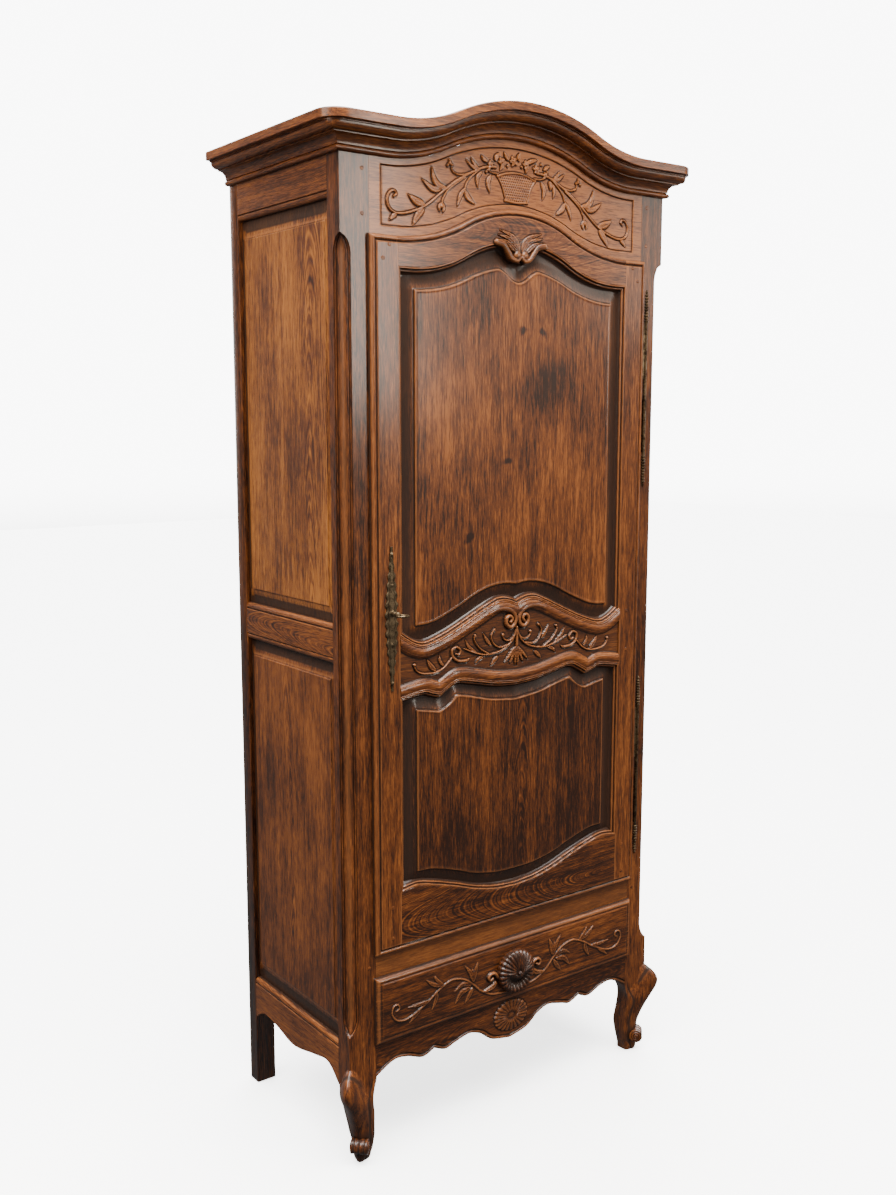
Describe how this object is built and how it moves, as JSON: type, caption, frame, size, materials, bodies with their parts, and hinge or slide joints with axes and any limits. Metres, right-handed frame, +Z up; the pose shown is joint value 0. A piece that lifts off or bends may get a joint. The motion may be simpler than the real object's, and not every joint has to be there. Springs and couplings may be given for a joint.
{
  "type": "bonnetiere armoire",
  "caption": "Tall narrow oak armoire with one carved, right-hung door with lock and key, a drawer below, an arched cornice and cabriole front legs.",
  "frame": {"origin": "on the floor, midway between the sides and midway between the tip of the key and the rear face", "axes": "+X to the right seen from the front, +Y to the back, +Z up"},
  "size_m": [0.876, 0.47, 1.985],
  "materials": {
    "waxed_oak": "dark stained oak, waxed to a soft shine",
    "carved_oak": "dark stained oak, carved, with near-black patina in the cuts",
    "panel_oak": "dark stained oak with broad figure, waxed",
    "plain_oak": "unstained aged oak, dry",
    "aged_brass": "aged, dull brass with dark patina",
    "dark_iron": "dark iron, dull"
  },
  "bodies": {
    "case": {"apron": "carved_oak", "back_panel_lower": "plain_oak", "back_panel_upper": "plain_oak", "back_rail_bottom": "plain_oak", "back_rail_middle": "plain_oak", "back_rail_top": "plain_oak", "cornice_front": "waxed_oak", "cornice_side_left": "waxed_oak", "cornice_side_right": "waxed_oak", "drawer_runner_left": "plain_oak", "drawer_runner_right": "plain_oak", "floor_bearer_left": "plain_oak", "floor_bearer_right": "plain_oak", "frieze_rail": "carved_oak", "hinge_lower_post_leaf": "aged_brass", "hinge_upper_post_leaf": "aged_brass", "post_front_left": "waxed_oak", "post_front_right": "waxed_oak", "post_rear_left": "waxed_oak", "post_rear_right": "waxed_oak", "rail_above_drawer": "waxed_oak", "roof_board": "plain_oak", "shelf_cleat_lower_left": "plain_oak", "shelf_cleat_lower_right": "plain_oak", "shelf_cleat_upper_left": "plain_oak", "shelf_cleat_upper_right": "plain_oak", "shelf_lower": "plain_oak", "shelf_upper": "plain_oak", "side_panel_lower_left": "panel_oak", "side_panel_lower_right": "panel_oak", "side_panel_upper_left": "panel_oak", "side_panel_upper_right": "panel_oak", "side_rail_bottom_left": "waxed_oak", "side_rail_bottom_right": "waxed_oak", "side_rail_middle_left": "waxed_oak", "side_rail_middle_right": "waxed_oak", "side_rail_top_left": "waxed_oak", "side_rail_top_right": "waxed_oak", "wardrobe_floor": "plain_oak"},
    "door": {"door_panel_lower": "panel_oak", "door_panel_upper": "panel_oak", "door_rail_bottom": "waxed_oak", "door_rail_middle": "carved_oak", "door_rail_top": "carved_oak", "door_stile_hinge": "waxed_oak", "door_stile_lock": "waxed_oak", "escutcheon": "aged_brass", "hinge_lower_door_leaf": "aged_brass", "hinge_upper_door_leaf": "aged_brass", "lock_case": "dark_iron"},
    "key": {"key": "aged_brass"},
    "bolt": {"lock_bolt": "dark_iron"},
    "drawer": {"drawer_back": "plain_oak", "drawer_bottom": "plain_oak", "drawer_front": "carved_oak", "drawer_side_left": "plain_oak", "drawer_side_right": "plain_oak", "shell_pull": "carved_oak"}
  },
  "joints": [
    {"name": "door_swing", "type": "hinge", "parent": "case", "child": "door", "pos_m": [0.3425, -0.181, 1.07], "axis": [0, 0, 1], "range_deg": [0, 170]},
    {"name": "drawer_slide", "type": "slide", "parent": "case", "child": "drawer", "axis": [0, -1, 0], "range_m": [0, 0.3]},
    {"name": "key_turn", "type": "hinge", "parent": "door", "child": "key", "pos_m": [-0.297, -0.19, 1.062], "axis": [0, 1, 0], "range_deg": [0, 180]},
    {"name": "bolt_throw", "type": "slide", "parent": "door", "child": "bolt", "axis": [-1, 0, 0], "range_m": [0, 0.014]}
  ],
  "couplings": [
    {"joint": "key_turn", "follows": "bolt_throw", "rad_per_m": 224.39}
  ]
}
